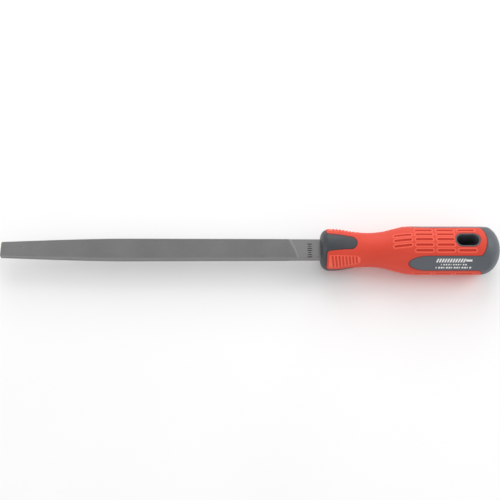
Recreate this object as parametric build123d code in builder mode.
"""Flat engineers' file, 200 mm (8 in) long, on a moulded handle with a soft red grip.

Frame: X runs along the tool from the blade's point to the handle's butt, Z is the normal of the
blade's broad faces, and Y runs across the blade. The origin is on the tool's axis, where
the blade's shoulders meet the handle's front face. All sizes are in millimetres.

The handle is a turned shape with three flats near its butt. Angles round the handle are measured
from +Z towards +Y. Three rigid grey thumb pads stand at 0 and +/-120 degrees behind the nose, with
three ribbed fingers of the red grip between them. Further back the pattern swaps over: three grey
flats at +/-60 and 180 degrees lie between three ribbed red lobes. A slotted hanging hole runs
through the handle along Z.

The pieces, from the inside out:
    file_blade   steel body and its tang, one forging
    tang_socket  inner moulding, driven onto the tang, that the handle core is moulded around
    handle_core  rigid grey moulding: nose, thumb pads, flats, butt and the wall of the hanging hole
    grip_sleeve  soft red moulding over the core, with its ribs
"""

import os
from math import cos, radians, sin

from build123d import *

# Blade. The file's nominal length runs from its point to its shoulders.
NOMINAL_LENGTH = 200.0
BLADE_THICKNESS = 5.2
POINT_THICKNESS = 3.6
HEEL_WIDTH = 12.8
BELLY_WIDTH = 13.5
POINT_WIDTH = 9.7
BELLY_X = -120.0            # the blade is widest here, and tapers from here to its point
EDGE_TAPER = 0.030          # slope of each narrow edge at the point
FACE_TAPER = 0.014          # slope of each broad face at the point
POINT_CORNER = 0.6
TANG_LENGTH = 58.0
TANG_ROOT = (8.6, 4.4)      # width and thickness at the shoulders
TANG_TIP = (3.0, 2.2)

# Tang socket
SOCKET_START = 4.0
SOCKET_END = 68.0
SOCKET_RADIUS = 6.0
SOCKET_RIB_RADIUS = 7.2     # three ribs key the socket into the core
SOCKET_RIB_WIDTH = 2.4
SOCKET_FLANGE = 2.5         # length of the flange at each end

# Handle outline, as radii along X
HANDLE_LENGTH = 112.0
NOSE_FACE_RADIUS = 7.2
COLLAR = (5.0, 12.88)       # the nose is a quarter ellipse from the front face to here
WAIST_OUTLINE = [(12.2, 12.5), (20.0, 11.2), (28.8, 10.55), (38.3, 11.25), (47.3, 13.4), (54.0, 14.95)]
BARREL_START = 63.0
BARREL_RADIUS = 15.45
BUTT_LENGTH = 12.0          # the butt is half an ellipse, turned about X
FLAT_APOTHEM = 14.4         # distance of each flat from the axis

# Grip sleeve
GRIP_THICKNESS = 1.6
LOBE_ANGLES = (0, 120, -120)        # red lobes at the back, and thumb pads at the front
FLAT_ANGLES = (60, -60, 180)        # flats at the back, and ribbed fingers at the front
NOSE_BAND = 3.3                     # the red fingers start here
PAD_END = 22.2
PAD_CORNER_X = 17.9
PAD_HALF_WIDTHS = (6.4, 4.3)        # at the front face, and where the rounded end begins
FLAT_TIP = 53.6                     # the grey flats start in a half ellipse
FLAT_FULL = 65.8
FLAT_HALF_WIDTH = 5.6
BUTT_BAND = 96.5                    # behind this, all that is not a lobe is grey
LOBE_END = 101.2                    # each red lobe ends in a half ellipse from the butt band to here
LOBE_HALF_WIDTH = 10.0

# Ribs. They are what is left between shallow grooves.
GROOVE_DEPTH = 0.6
GROOVE_WIDTH = 0.9
FINGER_RIB_RISE = 0.3
FINGER_RIB_PITCH = 2.1
FINGER_GROOVES = 8
FINGER_FIRST_GROOVE = 7.2
FINGER_PAD = (4.7, 24.5)            # start and end of the raised pad
FINGER_PAD_HALF_WIDTHS = (5.2, 3.0)
FINGER_PAD_MARGIN = 0.5             # the grooves stop this far short of the pad's edge
LOBE_RIB_ANGLE = 13.0
LOBE_COLUMN_LENGTH = 10.1
LOBE_COLUMNS = [                    # centre of each column of grooves, and which of the five it has
    (49.9, (-1, 0, 1)),
    (62.8, (-2, -1, 0, 1, 2)),
    (75.9, (-2, -1, 0, 1, 2)),
    (89.0, (-2, 2)),
]

# Hanging hole
HOLE_X = 89.6
HOLE_LENGTH = 13.8
HOLE_WIDTH = 7.4
HOLE_RIM = 0.85                     # grey rim that shows round the hole

REACH = 20.0                        # further from the axis than any part of the handle


def radial_plane(angle, radius=0.0):
    """Plane square to the direction at that angle round the handle; its own x runs along X."""
    out = Vector(0, sin(radians(angle)), cos(radians(angle)))
    return Plane(origin=out * radius, x_dir=(1, 0, 0), z_dir=out)


def turned_body(inset):
    """The handle's turned shape, with every radius smaller by inset."""
    barrel_end = HANDLE_LENGTH - BUTT_LENGTH
    collar_x, collar_radius = COLLAR
    nose_rise = collar_radius - NOSE_FACE_RADIUS
    waist = [COLLAR, *WAIST_OUTLINE, (BARREL_START, BARREL_RADIUS)]
    with BuildPart() as body:
        with BuildSketch():
            with BuildLine():
                Line((0, 0), (0, NOSE_FACE_RADIUS - inset))
                EllipticalCenterArc(
                    (collar_x, NOSE_FACE_RADIUS - inset), collar_x, nose_rise, 180, arc_size=-90
                )
                Spline(*[(x, r - inset) for x, r in waist], tangents=[(1, 0), (1, 0)])
                Line((BARREL_START, BARREL_RADIUS - inset), (barrel_end, BARREL_RADIUS - inset))
                EllipticalCenterArc((barrel_end, 0), BUTT_LENGTH - inset, BARREL_RADIUS - inset, 0, arc_size=90)
                Line((barrel_end + BUTT_LENGTH - inset, 0), (0, 0))
            make_face()
        revolve(axis=Axis.X)
    return body.part


def tang():
    """The blade's tang, from its shoulders to its tip."""
    with BuildPart() as spike:
        with BuildSketch(Plane.YZ):
            Rectangle(*TANG_ROOT)
        with BuildSketch(Plane.YZ.offset(TANG_LENGTH)):
            Rectangle(*TANG_TIP)
        loft()
    return spike.part


def thumb_pad(angle):
    """Prism over one thumb pad: wide at the nose and rounded at its back end."""
    front, back = PAD_HALF_WIDTHS
    with BuildPart() as pad:
        with BuildSketch(radial_plane(angle)):
            with BuildLine():
                Polyline((PAD_CORNER_X, -back), (0, -front), (0, front), (PAD_CORNER_X, back))
                ThreePointArc((PAD_CORNER_X, back), (PAD_END, 0), (PAD_CORNER_X, -back))
            make_face()
        extrude(amount=REACH)
    return pad.part


def flat_tongue(angle):
    """Prism over one grey flat: an elliptical tip, then parallel sides that run on past the butt."""
    with BuildPart() as tongue:
        with BuildSketch(radial_plane(angle)):
            with BuildLine():
                tip_length = FLAT_FULL - FLAT_TIP
                EllipticalCenterArc((FLAT_FULL, 0), tip_length, FLAT_HALF_WIDTH, 90, arc_size=180)
                Polyline(
                    (FLAT_FULL, FLAT_HALF_WIDTH),
                    (HANDLE_LENGTH, FLAT_HALF_WIDTH),
                    (HANDLE_LENGTH, -FLAT_HALF_WIDTH),
                    (FLAT_FULL, -FLAT_HALF_WIDTH),
                )
            make_face()
        extrude(amount=REACH)
    return tongue.part


def lobe_end(angle):
    """Prism over the rounded back end of one red lobe."""
    with BuildPart() as lobe:
        with BuildSketch(radial_plane(angle)):
            with BuildLine():
                end_length = LOBE_END - BUTT_BAND
                EllipticalCenterArc((BUTT_BAND, 0), end_length, LOBE_HALF_WIDTH, -90, arc_size=180)
                Line((BUTT_BAND, LOBE_HALF_WIDTH), (BUTT_BAND, -LOBE_HALF_WIDTH))
            make_face()
        extrude(amount=REACH)
    return lobe.part


def finger_pad(angle, margin=0.0):
    """Prism over the raised pad that carries one finger's ribs."""
    start, end = FINGER_PAD
    front, back = FINGER_PAD_HALF_WIDTHS
    with BuildPart() as pad:
        with BuildSketch(radial_plane(angle)):
            with BuildLine():
                Polyline(
                    (end - back, margin - back),
                    (start, margin - front),
                    (start, front - margin),
                    (end - back, back - margin),
                )
                ThreePointArc((end - back, back - margin), (end - margin, 0), (end - back, margin - back))
            make_face()
        extrude(amount=REACH)
    return pad.part


def hole(growth=0.0):
    """The slotted hanging hole, through the handle along Z, larger all round by growth."""
    with BuildPart() as slot:
        with BuildSketch(Plane.XY):
            with Locations((HOLE_X, 0)):
                SlotOverall(HOLE_LENGTH + 2 * growth, HOLE_WIDTH + 2 * growth)
        extrude(amount=REACH, both=True)
    return slot.part


# The whole handle's outside, flats included
with BuildPart() as outside:
    add(turned_body(0))
    for angle in FLAT_ANGLES:
        with BuildSketch(radial_plane(angle, FLAT_APOTHEM)):
            with Locations((HANDLE_LENGTH / 2, 0)):
                Rectangle(2 * HANDLE_LENGTH, 2 * REACH)
        extrude(amount=REACH, mode=Mode.SUBTRACT)

# Lands: the parts of the outside that are grey
with BuildPart() as butt_band:
    with BuildSketch(Plane.YZ.offset(BUTT_BAND)):
        Circle(REACH)
    extrude(amount=HANDLE_LENGTH - BUTT_BAND)
    add([lobe_end(angle) for angle in LOBE_ANGLES], mode=Mode.SUBTRACT)

with BuildPart() as rim:
    add(hole(HOLE_RIM))
    with BuildSketch(Plane.XY):
        with Locations((HOLE_X, 0)):
            Rectangle(2 * HOLE_LENGTH, 2 * REACH)
    extrude(amount=REACH, mode=Mode.INTERSECT)

with BuildPart() as lands:
    with BuildSketch(Plane.YZ):
        Circle(REACH)
    extrude(amount=NOSE_BAND)
    add([thumb_pad(angle) for angle in LOBE_ANGLES])
    add([flat_tongue(angle) for angle in FLAT_ANGLES])
    add(butt_band.part)
    add(rim.part)
    add(outside.part, mode=Mode.INTERSECT)

with BuildPart() as core_blank:
    add(turned_body(GRIP_THICKNESS))
    add(lands.part)

# Blade
with BuildPart() as file_blade:
    with BuildSketch(Plane.XY):
        with BuildLine():
            Polyline((0, 0), (0, HEEL_WIDTH / 2), (BELLY_X, BELLY_WIDTH / 2))
            Spline(
                (BELLY_X, BELLY_WIDTH / 2),
                (-NOMINAL_LENGTH, POINT_WIDTH / 2),
                tangents=[(-1, 0), (-1, -EDGE_TAPER)],
            )
            Line((-NOMINAL_LENGTH, POINT_WIDTH / 2), (-NOMINAL_LENGTH, 0))
            mirror(about=Plane.XZ)
        make_face()
    extrude(amount=BLADE_THICKNESS / 2, both=True)
    with BuildSketch(Plane.XZ):
        with BuildLine():
            Polyline((0, 0), (0, BLADE_THICKNESS / 2), (BELLY_X, BLADE_THICKNESS / 2))
            Spline(
                (BELLY_X, BLADE_THICKNESS / 2),
                (-NOMINAL_LENGTH, POINT_THICKNESS / 2),
                tangents=[(-1, 0), (-1, -FACE_TAPER)],
            )
            Line((-NOMINAL_LENGTH, POINT_THICKNESS / 2), (-NOMINAL_LENGTH, 0))
            mirror(about=Plane.XZ)
        make_face()
    extrude(amount=BELLY_WIDTH, both=True, mode=Mode.INTERSECT)
    point_corners = file_blade.edges().filter_by(Axis.Z).group_by(Axis.X)[0]
    fillet(point_corners, POINT_CORNER)
    add(tang())
file_blade.part.label = "file_blade"

# Tang socket: a ribbed tube with a flange at each end, moulded to the tang's taper
with BuildPart() as tang_socket:
    with BuildSketch(Plane.YZ.offset(SOCKET_START)):
        Circle(SOCKET_RADIUS)
        with PolarLocations(0, len(LOBE_ANGLES)):
            Rectangle(SOCKET_RIB_RADIUS, SOCKET_RIB_WIDTH, align=(Align.MIN, Align.CENTER))
    extrude(amount=SOCKET_END - SOCKET_START)
    for flange_x in (SOCKET_START, SOCKET_END - SOCKET_FLANGE):
        with BuildSketch(Plane.YZ.offset(flange_x)):
            Circle(SOCKET_RIB_RADIUS)
        extrude(amount=SOCKET_FLANGE)
socket_shape = tang_socket.part
with BuildPart() as tang_socket:
    add(socket_shape)
    add(tang(), mode=Mode.SUBTRACT)
tang_socket.part.label = "tang_socket"

# Handle core
with BuildPart() as handle_core:
    add(core_blank.part)
    add(socket_shape, mode=Mode.SUBTRACT)
    add(tang(), mode=Mode.SUBTRACT)
    add(hole(), mode=Mode.SUBTRACT)
handle_core.part.label = "handle_core"

# Grooves, cut to one depth below the surface
with BuildPart() as finger_grooves:
    for angle in FLAT_ANGLES:
        with BuildSketch(radial_plane(angle)):
            for i in range(FINGER_GROOVES):
                with Locations((FINGER_FIRST_GROOVE + i * FINGER_RIB_PITCH, 0)):
                    Rectangle(GROOVE_WIDTH, REACH)
        extrude(amount=REACH)
groove_prisms = finger_grooves.part
with BuildPart() as finger_grooves:
    add([finger_pad(angle, FINGER_PAD_MARGIN) for angle in FLAT_ANGLES])
    add(groove_prisms, mode=Mode.INTERSECT)

with BuildPart() as lobe_grooves:
    for lobe in LOBE_ANGLES:
        for x, groove_numbers in LOBE_COLUMNS:
            for i in groove_numbers:
                with BuildSketch(radial_plane(lobe + i * LOBE_RIB_ANGLE)):
                    with Locations((x, 0)):
                        SlotOverall(LOBE_COLUMN_LENGTH, GROOVE_WIDTH)
                extrude(amount=REACH)

with BuildPart() as grooves:
    add(finger_grooves.part)
    add(lobe_grooves.part)
    add(turned_body(GROOVE_DEPTH), mode=Mode.SUBTRACT)

# Raised pads under the fingers' ribs
with BuildPart() as raised_pads:
    add([finger_pad(angle) for angle in FLAT_ANGLES])
    add(turned_body(-FINGER_RIB_RISE), mode=Mode.INTERSECT)

# Grip sleeve: what is left of the outside when the core is taken away
with BuildPart() as grip_sleeve:
    add(outside.part)
    add(raised_pads.part)
    add(core_blank.part, mode=Mode.SUBTRACT)
    add(grooves.part, mode=Mode.SUBTRACT)
    add(hole(), mode=Mode.SUBTRACT)
grip_sleeve.part.label = "grip_sleeve"

os.makedirs("parts", exist_ok=True)
for piece in (file_blade, tang_socket, handle_core, grip_sleeve):
    export_step(piece.part, f"parts/{piece.part.label}.step")
